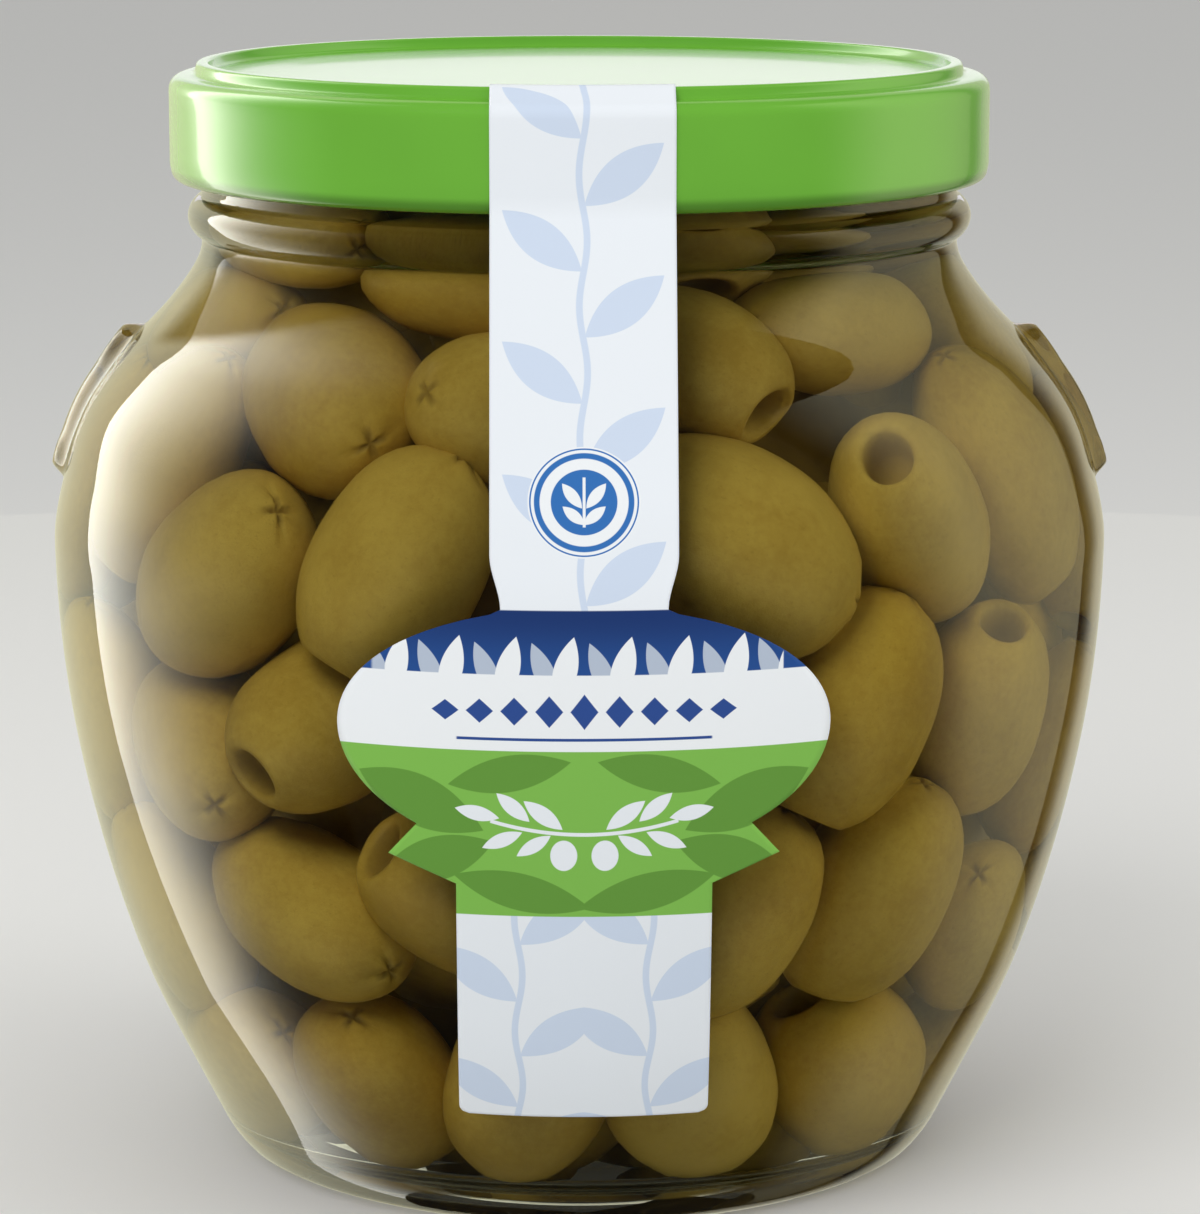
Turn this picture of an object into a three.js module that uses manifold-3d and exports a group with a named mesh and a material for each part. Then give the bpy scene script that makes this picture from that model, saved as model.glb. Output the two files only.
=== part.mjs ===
// A pot-bellied glass jar of pitted green olives, shut with a twist-off lid.
// Millimetres, +Z up, the origin under the middle of the base, the paper label facing -Y.
import * as THREE from "three";
import { mergeVertices } from "three/addons/utils/BufferGeometryUtils.js";
import Module from "manifold-3d";

const wasm = await Module();
wasm.setup();

// Heights and radii of the outside of the glass, from the bearing ring to the neck.
const jarStations = [
  [0, 45.5], [1.5, 48.5], [6.6, 51.8], [30, 62.6], [59, 70.3], [86, 72.9],
  [97, 70.9], [105, 67.9], [112.5, 62.6], [119, 56.6], [124, 53], [127, 52], [148.8, 51.8],
];
// Heights of the rings of points on the wall, closest together on the shoulder.
const outsideHeights = [6.6, 20, 36, 55, 76, 91, 99, 105, 110, 115, 120, 124, 127.9];
const insideHeights = [8, 27, 50, 74, 90, 100, 107, 113, 119, 125, 148.2];
const jar = {
  wall: 3, floor: 5, pushUp: 2.2, ringInside: 36, rim: 149, sides: 42,
  beadHeight: 130.8, beadHalf: 2.9, beadProud: 2,
};
const ear = { middle: 105.2, length: 20.2, width: 12, proud: 2.2, rimWidth: 2.6, recess: 1.2 };
const lid = {
  radius: 56.2, bottom: 135.8, top: 151.7, sheet: 0.8, shoulder: 2, ringOuter: 52.4,
  ringHeight: 1.7, ringTop: 1.6, panelDrop: 1.5, curl: 1.3,
};
const label = {
  bottom: 18.6, azimuth: 0.45, gap: 0.3, paper: 0.3, columns: 8,
  strapHalf: 11.85, waistHalf: 10.5, waist: 88.4, waistTop: 95,
  ovalHalf: 32.2, ovalMiddle: 72.9, ovalUp: 16, ovalDown: 17.2,
  notch: 60.1, finTip: 55.8, finHalf: 25.4, panelTop: 52.2, panelHalf: 16.4, corner: 1.3,
};
const olive = { half: 15.4, girth: 10.8, clearance: 1.35, coreDepth: 12.5, ceiling: 141, sides: 8 };

// The olives that show from the front: azimuth and height of the middle, the lean of the end that
// shows, clockwise from upright, its tip outwards, all in degrees, and the size.
const frontOlives = [
  [-41, 107, 120, 20, 1.07, "slit"], [-64, 98, 25, 0, 1, "slit"], [-50, 86, 50, 8, 1.03, "slit"],
  [-25, 91, 30, 0, 1, "slit"], [-11, 108, -100, 50, 1, "slit"], [-22, 123, 95, 0, 0.97, "hole"],
  [-55, 64, 112, 40, 1, "slit"], [-37, 71, -140, 58, 0.98, "hole"],
  [-39, 46, 112, 15, 1.01, "slit"], [-17, 47, -50, 25, 1, "hole"], [-35, 19, 12, 24, 1.02, "slit"],
  [-66, 23, 60, 0, 1, "slit"], [-8, 22, 15, 0, 1, "slit"], [-85, 94, 20, 0, 1, "slit"],
  [-77, 62, 10, 0, 1, "slit"], [-73, 39, -15, 0, 1, "slit"], [-62, 126, 90, 0, 0.95, "slit"],
  [-72, 112, 70, 0, 0.95, "slit"], [45, 114, -85, 10, 1, "slit"], [18, 111, 145, 15, 0.98, "hole"],
  [48, 92, -46, 30, 0.96, "hole"], [65, 96, -20, 0, 1.04, "slit"],
  [22, 92, 118, 8, 1.12, "slit"], [36, 70, 25, 0, 1.03, "slit"], [59, 68, -12, 22, 1, "hole"],
  [43, 46, 12, 8, 1.05, "slit"], [68, 38, -45, 18, 0.98, "slit"], [23, 43, 25, 0, 1.02, "slit"],
  [45, 22, 142, 18, 1, "slit"], [14, 22, -20, 0, 1.02, "slit"],
];
// The rest of the outer layer: rings round the jar, at these heights.
const rings = { heights: [15, 38, 62, 85, 107, 126], spacing: 26, clear: 17, seed: 7 };
const settling = {
  steps: 70, lastSteps: 6, pinnedShare: 0.12, homing: 0.3, endBall: 0.88, endPlace: 0.38, toWall: 0.5,
  mostOverlap: 3,
};

const colours = { glass: "#dfe5dc", lid: "#6bb03a", paper: "#ebeef3", olive: "#85713a" };

// Smooth curve through stations of [height, radius].
function radiusThrough(stations, height) {
  const last = stations.length - 1;
  const z = Math.min(Math.max(height, stations[0][0]), stations[last][0]);
  let i = 0;
  while (i < last - 1 && z > stations[i + 1][0]) i += 1;
  const tangent = (k) => {
    const before = stations[Math.max(k - 1, 0)];
    const after = stations[Math.min(k + 1, last)];
    return (after[1] - before[1]) / (after[0] - before[0]);
  };
  const span = stations[i + 1][0] - stations[i][0];
  const t = (z - stations[i][0]) / span;
  const rise = t * t * (3 - 2 * t);
  const bend = t * (1 - t) * span * ((1 - t) * tangent(i) - t * tangent(i + 1));
  return stations[i][1] * (1 - rise) + stations[i + 1][1] * rise + bend;
}

const outerRadius = (z) => radiusThrough(jarStations, z);
const outerSlope = (z) => (outerRadius(z + 0.2) - outerRadius(z - 0.2)) / 0.4;
// The wall's face moved outwards by an amount, measured square to the wall.
const shiftedRadius = (z, amount) => outerRadius(z) + amount * Math.hypot(1, outerSlope(z));
const innerRadius = (z) => shiftedRadius(z, -jar.wall);

function latheFrom(points, sides) {
  const outline = points.map(([r, z]) => new THREE.Vector2(r, z));
  const geometry = new THREE.LatheGeometry(outline, sides);
  return geometry.rotateX(Math.PI / 2);
}

function toSolid(geometry) {
  const bare = geometry.clone();
  bare.deleteAttribute("normal");
  bare.deleteAttribute("uv");
  const merged = mergeVertices(bare, 1e-4);
  const mesh = new wasm.Mesh({
    numProp: 3,
    vertProperties: new Float32Array(merged.attributes.position.array),
    triVerts: new Uint32Array(merged.index.array),
  });
  return new wasm.Manifold(mesh);
}

function toGeometry(solid) {
  const mesh = solid.getMesh();
  const geometry = new THREE.BufferGeometry();
  geometry.setAttribute("position", new THREE.BufferAttribute(mesh.vertProperties, 3));
  geometry.setIndex(new THREE.BufferAttribute(mesh.triVerts, 1));
  geometry.computeVertexNormals();
  return geometry;
}

function heightsBetween(low, high, count) {
  return Array.from({ length: count + 1 }, (_, i) => low + ((high - low) * i) / count);
}

// A solid of revolution as wide as the glass, moved outwards by an amount.
function bodySolid(amount) {
  const wall = heightsBetween(84, 122, 10).map((z) => [shiftedRadius(z, amount), z]);
  return toSolid(latheFrom([[0, 84], ...wall, [0, 122]], jar.sides));
}

// A flat stadium outline, extruded sideways through the wall at one side of the jar.
function stadiumBar(length, width, side) {
  const half = length / 2 - width / 2;
  const outline = new THREE.Shape();
  outline.absarc(0, half, width / 2, 0, Math.PI, false);
  outline.absarc(0, -half, width / 2, Math.PI, 2 * Math.PI, false);
  const bar = new THREE.ExtrudeGeometry(outline, { depth: 30, bevelEnabled: false, curveSegments: 4 });
  bar.rotateX(Math.PI / 2).rotateZ(Math.PI / 2).translate(50, 0, ear.middle);
  return toSolid(side < 0 ? bar.rotateZ(Math.PI) : bar);
}

// A moulded ear: a raised stadium-shaped rim round a shallow recess, following the wall.
function earSolid(side) {
  const pad = stadiumBar(ear.length, ear.width, side).intersect(bodySolid(ear.proud));
  const inside = stadiumBar(ear.length - 2 * ear.rimWidth, ear.width - 2 * ear.rimWidth, side);
  const hollow = inside.subtract(bodySolid(ear.proud - ear.recess));
  return pad.subtract(hollow).subtract(bodySolid(-jar.wall / 2));
}

function glassGeometry() {
  const outside = [0, 1.5, ...outsideHeights].map((z) => [outerRadius(z), z]);
  const bead = [45, 90, 135].map((degrees) => {
    const turn = THREE.MathUtils.degToRad(degrees);
    const z = jar.beadHeight - jar.beadHalf * Math.cos(turn);
    return [outerRadius(z) + jar.beadProud * Math.sin(turn), z];
  });
  const finish = [jar.beadHeight + jar.beadHalf, jar.rim - 0.8].map((z) => [outerRadius(z), z]);
  const lip = [[outerRadius(jar.rim) - 0.8, jar.rim], [innerRadius(jar.rim) + 0.8, jar.rim]];
  const inside = [...insideHeights].reverse().map((z) => [innerRadius(z), z]);
  const corner = inside.at(-1)[0];
  const floor = [[corner - 1.5, jar.floor + 0.9], [corner - 5, jar.floor]];
  const under = [[0, jar.pushUp], [jar.ringInside - 5, jar.pushUp], [jar.ringInside, 0]];
  const profile = [...under, ...outside, ...bead, ...finish, ...lip, ...inside, ...floor, [0, jar.floor + 0.6]];
  const shell = toSolid(latheFrom(profile, jar.sides));
  return toGeometry(shell.add(earSolid(1)).add(earSolid(-1)));
}

// The outside of the lid, from its lower edge over the shoulder and the raised ring to the panel.
function lidOutside() {
  const shoulderTop = lid.top - lid.ringHeight;
  const shoulder = [0, 45, 90].map((degrees) => {
    const turn = THREE.MathUtils.degToRad(degrees);
    const across = lid.radius - lid.shoulder * (1 - Math.cos(turn));
    return [across, shoulderTop - lid.shoulder * (1 - Math.sin(turn))];
  });
  const ringInner = lid.ringOuter - lid.ringTop;
  const ring = [
    [lid.ringOuter + 0.3, shoulderTop], [lid.ringOuter, lid.top - 0.3], [lid.ringOuter - 0.5, lid.top],
    [ringInner, lid.top], [ringInner - 0.5, lid.top - lid.panelDrop],
  ];
  return [[lid.radius - 0.4, lid.bottom], [lid.radius, lid.bottom + 0.5], ...shoulder, ...ring];
}

function lidGeometry() {
  const inner = lid.radius - lid.sheet;
  const under = lid.top - lid.panelDrop - lid.sheet;
  const inside = [
    [0, under], [inner - 1, under], [inner, under - 1], [inner, lid.bottom + 2 * lid.curl],
    [inner - lid.curl, lid.bottom + lid.curl], [inner - lid.curl, lid.bottom],
  ];
  return latheFrom([...inside, ...lidOutside(), [0, lid.top - lid.panelDrop]], jar.sides);
}

// Half the label's width, measured along the paper, at a height on the jar.
function dieHalfWidth(z) {
  if (z >= label.waist) {
    const share = Math.min((z - label.waist) / (label.waistTop - label.waist), 1);
    return THREE.MathUtils.lerp(label.waistHalf, label.strapHalf, share * share * (3 - 2 * share));
  }
  if (z >= label.notch) {
    const reach = z > label.ovalMiddle ? label.ovalUp : label.ovalDown;
    return label.ovalHalf * Math.sqrt(Math.max(1 - ((z - label.ovalMiddle) / reach) ** 2, 0));
  }
  if (z >= label.finTip) {
    const notchHalf = dieHalfWidth(label.notch);
    return THREE.MathUtils.mapLinear(z, label.notch, label.finTip, notchHalf, label.finHalf);
  }
  if (z >= label.panelTop) {
    return THREE.MathUtils.mapLinear(z, label.finTip, label.panelTop, label.finHalf, label.panelHalf);
  }
  const up = Math.min((z - label.bottom) / label.corner, 1);
  return label.panelHalf - label.corner * (1 - Math.sqrt(1 - (1 - up) ** 2));
}

// The line that the paper follows up the jar: on the wall, straight across the neck, over the lid.
function labelPath() {
  const beside = label.gap + 0.15;
  const edge = [lid.radius + beside, lid.bottom];
  const touching = heightsBetween(88, 124, 72).map((z) => {
    const r = shiftedRadius(z, beside);
    return { r, z, slant: (r - edge[0]) / (edge[1] - z) };
  });
  const leaving = touching.reduce((best, point) => (point.slant > best.slant ? point : best));
  const edges = [
    label.bottom, label.bottom + 0.4, label.bottom + label.corner, label.panelTop,
    label.finTip, label.notch, label.ovalMiddle, label.waist,
  ];
  const wall = [
    ...edges, 25, 32, 39, 46, 57.5, 62.5, 65, 67.5, 70, 76, 79, 82, 84, 85.5, 87, 91.5, 95, 98.5,
  ].sort((a, b) => a - b).map((z) => [shiftedRadius(z, beside), z]);
  const free = [0, 0.35, 0.7].map((share) => [
    THREE.MathUtils.lerp(leaving.r, edge[0], share),
    THREE.MathUtils.lerp(leaving.z, edge[1], share),
  ]);
  const shoulderTop = lid.top - lid.ringHeight;
  const over = [
    edge, [edge[0], shoulderTop - lid.shoulder], [edge[0] - 0.3, shoulderTop - 0.7],
    [edge[0] - 1.2, shoulderTop + 0.5], [lid.ringOuter + 0.2, lid.top + beside - 0.25],
    [lid.ringOuter - 1.2, lid.top + beside],
  ];
  return [...wall, ...free, ...over];
}

// A thin box with a slice for each step of the path, wrapped round the jar.
function labelGeometry() {
  const path = labelPath();
  const steps = path.length - 1;
  const sheet = new THREE.BoxGeometry(2, steps, label.paper, label.columns, steps, 1);
  const position = sheet.attributes.position;
  for (let i = 0; i < position.count; i += 1) {
    const step = Math.round(position.getY(i) + steps / 2);
    const [r, z] = path[step];
    const below = path[Math.max(step - 1, 0)];
    const above = path[Math.min(step + 1, steps)];
    const along = Math.hypot(above[0] - below[0], above[1] - below[1]);
    const lift = position.getZ(i) + label.paper / 2;
    const across = r + (lift * (above[1] - below[1])) / along;
    const turn = THREE.MathUtils.degToRad(label.azimuth) + (position.getX(i) * dieHalfWidth(z)) / r;
    const up = z - (lift * (above[0] - below[0])) / along;
    position.setXYZ(i, across * Math.sin(turn), -across * Math.cos(turn), up);
  }
  return sheet;
}

// Draws even numbers between 0 and 1, the same in every run.
function drawing(seed) {
  let state = seed;
  return () => {
    state = (state * 16807) % 2147483647;
    return state / 2147483647;
  };
}

// An olive's middle on the layer that touches the wall, and the direction of the end that shows.
function placed(azimuth, height, lean, tip, size, end, pinned) {
  const turn = THREE.MathUtils.degToRad(azimuth);
  const slope = Math.atan(outerSlope(height));
  const outwards = new THREE.Vector3(Math.cos(slope), 0, -Math.sin(slope));
  const upwards = new THREE.Vector3(Math.sin(slope), 0, Math.cos(slope));
  const sideways = new THREE.Vector3(0, 1, 0);
  const [leaning, tipping] = [lean, tip].map(THREE.MathUtils.degToRad);
  const axis = new THREE.Vector3()
    .addScaledVector(upwards, Math.cos(leaning) * Math.cos(tipping))
    .addScaledVector(sideways, Math.sin(leaning) * Math.cos(tipping))
    .addScaledVector(outwards, Math.sin(tipping));
  const r = shiftedRadius(height, -jar.wall - olive.clearance - olive.girth * size);
  const up = new THREE.Vector3(0, 0, 1);
  const middle = new THREE.Vector3(r, 0, height).applyAxisAngle(up, turn - Math.PI / 2);
  axis.applyAxisAngle(up, turn - Math.PI / 2);
  return { middle, home: middle.clone(), axis, size, end, pinned };
}

function layOlives() {
  const olives = frontOlives.map((row) => placed(...row, true));
  const draw = drawing(rings.seed);
  rings.heights.forEach((height, row) => {
    const r = innerRadius(height) - olive.girth;
    const count = Math.round((2 * Math.PI * r) / rings.spacing);
    for (let i = 0; i < count; i += 1) {
      const azimuth = (360 * (i + (row % 2) / 2 + 0.3 * draw())) / count;
      const lean = 180 * draw() - 90;
      const tip = 30 * draw() ** 2;
      const size = 0.94 + 0.12 * draw();
      const end = draw() < 0.4 ? "hole" : "slit";
      const next = placed(azimuth, height, lean, tip, size, end, false);
      if (olives.every((other) => other.middle.distanceTo(next.middle) > rings.clear)) olives.push(next);
    }
  });
  return olives;
}

// Three balls along an olive's axis stand for it while the heap settles.
function ballsOf(one) {
  return [-1, 0, 1].map((place) => ({
    at: one.middle.clone().addScaledVector(one.axis, place * settling.endPlace * olive.half * one.size),
    radius: olive.girth * one.size * (place === 0 ? 1 : settling.endBall),
  }));
}

// Pushes an olive off the wall and the floor, and draws it out to the wall where it has room.
function keepInside(one) {
  let slack = Infinity;
  for (const ball of ballsOf(one)) {
    const across = Math.hypot(ball.at.x, ball.at.y);
    const slope = outerSlope(ball.at.z);
    const room = (innerRadius(ball.at.z) - across) / Math.hypot(1, slope);
    slack = Math.min(slack, room - ball.radius - olive.clearance);
  }
  const across = Math.hypot(one.middle.x, one.middle.y);
  const move = slack < 0 ? slack : slack * settling.toWall;
  one.middle.x += (move * one.middle.x) / across;
  one.middle.y += (move * one.middle.y) / across;
  const lowest = Math.min(...ballsOf(one).map((ball) => ball.at.z - ball.radius));
  const highest = Math.max(...ballsOf(one).map((ball) => ball.at.z + ball.radius));
  one.middle.z += Math.max(jar.floor + 0.6 + olive.clearance - lowest, 0);
  one.middle.z -= Math.max(highest - olive.ceiling, 0);
}

// How deep two olives sink into each other, and the way to part them.
function deepestOverlap(one, other) {
  let deepest = 0;
  const way = new THREE.Vector3();
  if (one.middle.distanceTo(other.middle) > 2.2 * olive.half) return { deepest, way };
  const others = ballsOf(other);
  for (const a of ballsOf(one)) {
    for (const b of others) {
      const overlap = a.radius + b.radius - a.at.distanceTo(b.at);
      if (overlap > deepest) {
        deepest = overlap;
        way.subVectors(a.at, b.at).normalize();
      }
    }
  }
  return { deepest, way };
}

function pushApart(one, other) {
  const { deepest, way } = deepestOverlap(one, other);
  const share = one.pinned === other.pinned ? 0.5 : settling.pinnedShare;
  const mine = one.pinned || !other.pinned ? share : 1 - share;
  one.middle.addScaledVector(way, deepest * mine);
  other.middle.addScaledVector(way, deepest * (mine - 1));
}

function settle(olives) {
  for (let step = 0; step < settling.steps; step += 1) {
    olives.forEach((one, i) => olives.slice(0, i).forEach((other) => pushApart(one, other)));
    for (const one of olives.filter((each) => each.pinned)) one.middle.lerp(one.home, settling.homing);
    olives.forEach(keepInside);
  }
  for (let step = 0; step < settling.lastSteps; step += 1) olives.forEach(keepInside);
  const kept = [];
  for (const one of olives) {
    const free = kept.every((other) => deepestOverlap(one, other).deepest < settling.mostOverlap);
    if (one.pinned || free) kept.push(one);
  }
  return kept;
}

// One olive, its middle at the origin and the end that shows upwards.
function oliveGeometry(end) {
  const { half, girth } = olive;
  const holed = [[0, half * 0.6], [girth * 0.35, half * 0.92], [girth * 0.68, half * 0.75]];
  const pointed = [[0, half], [girth * 0.62, half * 0.8]];
  const body = [[girth * 0.98, half * 0.3], [girth * 0.96, -half * 0.36], [girth * 0.6, -half * 0.83]];
  const top = end === "hole" ? holed : pointed;
  return latheFrom([...top, ...body, [0, -half]].reverse(), olive.sides);
}

// The core that the outer layer of olives stands on.
function coreSolid() {
  const wall = heightsBetween(17, 127, 6).map((z) => [
    shiftedRadius(z, -jar.wall - olive.coreDepth), z,
  ]);
  return toSolid(latheFrom([[0, 13], [34, 13], ...wall, [0, 129]], 16));
}

function heapGeometry() {
  const shapes = { hole: toSolid(oliveGeometry("hole")), slit: toSolid(oliveGeometry("slit")) };
  const up = new THREE.Vector3(0, 0, 1);
  let heap = coreSolid();
  for (const one of settle(layOlives())) {
    const turn = new THREE.Quaternion().setFromUnitVectors(up, one.axis);
    const scale = new THREE.Vector3(one.size, one.size, one.size);
    const place = new THREE.Matrix4().compose(one.middle, turn, scale);
    heap = heap.add(shapes[one.end].transform(place.elements));
  }
  const bodies = heap.decompose();
  return toGeometry(bodies.reduce((largest, body) => (body.volume() > largest.volume() ? body : largest)));
}

function part(name, geometry, colour, roughness, metalness) {
  const material = new THREE.MeshStandardMaterial({ color: colour, roughness, metalness });
  const mesh = new THREE.Mesh(geometry, material);
  mesh.name = name;
  return mesh;
}

const group = new THREE.Group();
group.add(
  part("jar_glass", glassGeometry(), colours.glass, 0.05, 0),
  part("lid", lidGeometry(), colours.lid, 0.25, 0.3),
  part("label", labelGeometry(), colours.paper, 0.55, 0),
  part("olives", heapGeometry(), colours.olive, 0.35, 0),
);

export default group;
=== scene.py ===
# A shut, pot-bellied glass jar of pitted green olives in brine, standing on a pale floor.
import math
import time

import bmesh
import bpy
from mathutils import Matrix, Quaternion, Vector, noise


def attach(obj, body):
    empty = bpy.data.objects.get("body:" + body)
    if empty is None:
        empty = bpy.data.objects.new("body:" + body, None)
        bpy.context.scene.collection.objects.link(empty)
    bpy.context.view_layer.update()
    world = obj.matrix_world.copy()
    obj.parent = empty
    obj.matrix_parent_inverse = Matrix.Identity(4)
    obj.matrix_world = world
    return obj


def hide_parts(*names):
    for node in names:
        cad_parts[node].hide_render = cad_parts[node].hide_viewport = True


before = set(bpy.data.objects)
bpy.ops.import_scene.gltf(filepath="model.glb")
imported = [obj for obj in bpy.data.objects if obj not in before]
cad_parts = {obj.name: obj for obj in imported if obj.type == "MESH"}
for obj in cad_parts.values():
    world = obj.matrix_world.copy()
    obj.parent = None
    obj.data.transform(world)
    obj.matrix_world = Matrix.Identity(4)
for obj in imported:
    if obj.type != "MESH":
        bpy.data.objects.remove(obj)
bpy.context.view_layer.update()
scene = bpy.context.scene
startTime = time.time()
mm = 0.001

# Heights and radii of the outside of the glass, in millimetres, from the bearing ring to the neck.
jarStations = [
    (0, 45.5), (1.5, 48.5), (6.6, 51.8), (30, 62.6), (59, 70.3), (86, 72.9),
    (97, 70.9), (105, 67.9), (112.5, 62.6), (119, 56.6), (124, 53), (127, 52), (148.8, 51.8),
]
jarShape = {
    "wall": 3, "floor": 5, "pushUp": 2.2, "rim": 149, "steps": 180,
    "beadHeight": 130.8, "beadHalf": 2.9, "beadProud": 2,
}


def report(stage):
    print(f"{time.time() - startTime:6.1f} s  {stage}")


def radiusThrough(stations, height):
    last = len(stations) - 1
    z = min(max(height, stations[0][0]), stations[last][0])
    i = 0
    while i < last - 1 and z > stations[i + 1][0]:
        i += 1

    def tangent(k):
        before, after = stations[max(k - 1, 0)], stations[min(k + 1, last)]
        return (after[1] - before[1]) / (after[0] - before[0])

    span = stations[i + 1][0] - stations[i][0]
    t = (z - stations[i][0]) / span
    rise = t * t * (3 - 2 * t)
    bend = t * (1 - t) * span * ((1 - t) * tangent(i) - t * tangent(i + 1))
    return stations[i][1] * (1 - rise) + stations[i + 1][1] * rise + bend


def outerRadius(z):
    return radiusThrough(jarStations, z)


def outerSlope(z):
    return (outerRadius(z + 0.2) - outerRadius(z - 0.2)) / 0.4


def shiftedRadius(z, amount):
    return outerRadius(z) + amount * math.hypot(1, outerSlope(z))


def innerRadius(z):
    return shiftedRadius(z, -jarShape["wall"])


def between(low, high, count):
    return [low + (high - low) * i / count for i in range(count + 1)]


def smoothStep(low, high, value):
    t = min(max((value - low) / (high - low), 0), 1)
    return t * t * (3 - 2 * t)


# Shader maths: a wire is a socket that can be added, multiplied and compared.
class Wire:
    def __init__(self, finish, socket):
        self.finish = finish
        self.socket = socket

    def maths(self, operation, *others):
        return self.finish.maths(operation, self, *others)

    def __add__(self, other):
        return self.maths("ADD", other)

    def __radd__(self, other):
        return self.maths("ADD", other)

    def __sub__(self, other):
        return self.maths("SUBTRACT", other)

    def __rsub__(self, other):
        return self.finish.maths("SUBTRACT", other, self)

    def __mul__(self, other):
        return self.maths("MULTIPLY", other)

    def __rmul__(self, other):
        return self.maths("MULTIPLY", other)

    def __truediv__(self, other):
        return self.maths("DIVIDE", other)

    def __rtruediv__(self, other):
        return self.finish.maths("DIVIDE", other, self)

    def __mod__(self, period):
        return self.maths("FLOORED_MODULO", period)

    def __neg__(self):
        return self.maths("MULTIPLY", -1)

    def __abs__(self):
        return self.maths("ABSOLUTE")

    def __pow__(self, power):
        return self.maths("POWER", power)

    def cosine(self):
        return self.maths("COSINE")

    def root(self):
        return self.maths("SQRT")

    def bell(self):
        return (-(self * self)).maths("EXPONENT")

    def least(self, other):
        return self.maths("MINIMUM", other)

    def most(self, other):
        return self.maths("MAXIMUM", other)

    def band(self, low, high):
        settings = {"interpolation_type": "SMOOTHSTEP", "clamp": True}
        values = {"Value": self, "From Min": low, "From Max": high}
        return self.finish.node("ShaderNodeMapRange", settings, values)["Result"]


# One material, or the world's light, being put together node by node.
class Finish:
    def __init__(self, name, owner=None):
        self.owner = owner or bpy.data.materials.new(name)
        self.owner.use_nodes = True
        self.tree = self.owner.node_tree
        self.tree.nodes.clear()

    def node(self, kind, settings=None, values=None):
        made = self.tree.nodes.new(kind)
        for key, value in (settings or {}).items():
            setattr(made, key, value)
        for key, value in (values or {}).items():
            if isinstance(value, Wire):
                self.tree.links.new(value.socket, made.inputs[key])
            else:
                made.inputs[key].default_value = value
        return {output.name: Wire(self, output) for output in made.outputs if output.enabled}

    def maths(self, operation, *values):
        return self.node("ShaderNodeMath", {"operation": operation}, dict(enumerate(values)))["Value"]

    def mix(self, share, low, high):
        low, high = (colour if isinstance(colour, Wire) else (*colour, 1) for colour in (low, high))
        return self.node("ShaderNodeMix", {"data_type": "RGBA"}, {0: share, 6: low, 7: high})["Result"]

    def mixShaders(self, share, one, other):
        return self.node("ShaderNodeMixShader", None, {0: share, 1: one, 2: other})["Shader"]

    def axes(self, vector):
        split = self.node("ShaderNodeSeparateXYZ", None, {"Vector": vector})
        return split["X"], split["Y"], split["Z"]

    def place(self):
        return self.node("ShaderNodeTexCoord")["Object"]

    def noise(self, place, scale, detail=3, roughness=0.5):
        values = {"Vector": place, "Scale": scale, "Detail": detail, "Roughness": roughness}
        return self.node("ShaderNodeTexNoise", None, values)["Fac"]

    def bump(self, height, distance, strength=1):
        values = {"Height": height, "Distance": distance, "Strength": strength}
        return self.node("ShaderNodeBump", None, values)["Normal"]

    def principled(self, **values):
        named = {key.replace("_", " "): value for key, value in values.items()}
        return self.node("ShaderNodeBsdfPrincipled", None, named)["BSDF"]

    def done(self, surface):
        self.node("ShaderNodeOutputMaterial", None, {"Surface": surface})
        return self.owner


def solidColour(r, g, b):
    return (r, g, b, 1)


def makePiece(name, bm, material, slotName, *nodes):
    mesh = bpy.data.meshes.new(name)
    for face in bm.faces:
        face.smooth = True
    bm.to_mesh(mesh)
    bm.free()
    mesh.materials.append(material)
    piece = bpy.data.objects.new(name, mesh)
    scene.collection.objects.link(piece)
    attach(piece, "root")
    if nodes:
        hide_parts(*nodes)
    report(f"{name}: {len(mesh.polygons)} faces")
    return piece


def spinProfile(points, steps):
    # a profile of (radius, height) in millimetres, spun into a closed solid about the jar's axis
    bm = bmesh.new()
    verts = [bm.verts.new((r * mm, 0, z * mm)) for r, z in points]
    edges = [bm.edges.new(pair) for pair in zip(verts, verts[1:])]
    if points[0][0] > 0:
        edges.append(bm.edges.new((verts[-1], verts[0])))
    bmesh.ops.spin(
        bm, geom=verts + edges, cent=(0, 0, 0), axis=(0, 0, 1), angle=math.tau,
        steps=steps, use_merge=True, use_duplicate=False,
    )
    bmesh.ops.remove_doubles(bm, verts=bm.verts, dist=1e-6)
    bmesh.ops.recalc_face_normals(bm, faces=bm.faces)
    return bm


def arc(middle, radius, start, end, count):
    turns = [math.radians(a) for a in between(start, end, count)]
    return [(middle[0] + radius * math.cos(a), middle[1] + radius * math.sin(a)) for a in turns]


# Camera: the photograph's viewpoint, found from the jar's outline in it.
viewpoint = {"distance": 0.641, "height": 0.1952, "pitch": 10.6, "yaw": 0.253, "lens": 137.9, "sensor": 36}


def addCamera():
    data = bpy.data.cameras.new("camera")
    data.lens = viewpoint["lens"]
    data.sensor_width = viewpoint["sensor"]
    data.clip_start = 0.01
    camera = bpy.data.objects.new("camera", data)
    camera.location = (0, -viewpoint["distance"], viewpoint["height"])
    camera.rotation_euler = (math.radians(90 - viewpoint["pitch"]), 0, math.radians(-viewpoint["yaw"]))
    scene.collection.objects.link(camera)
    scene.camera = camera


# How bright each card is, 0 to 1, by its places across from its back edge and up from its foot.
def glowLeft(across, up):
    middle = up.band(0.3, 0.5)
    width = middle * 0.17 + 0.29 - up.band(0.75, 0.95) * 0.05
    fade = (across / width).bell() * 0.93 + (middle * 0.03 + 0.05) * (1 - across)
    return fade * (up.band(0.5, 0.64) * 0.34 + 0.66)


def glowBehindLeft(across, up):
    return across * 0.65 + 0.35


def glowBehindRight(across, up):
    return 1 - across.band(0.7, 1) * 0.9


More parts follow.
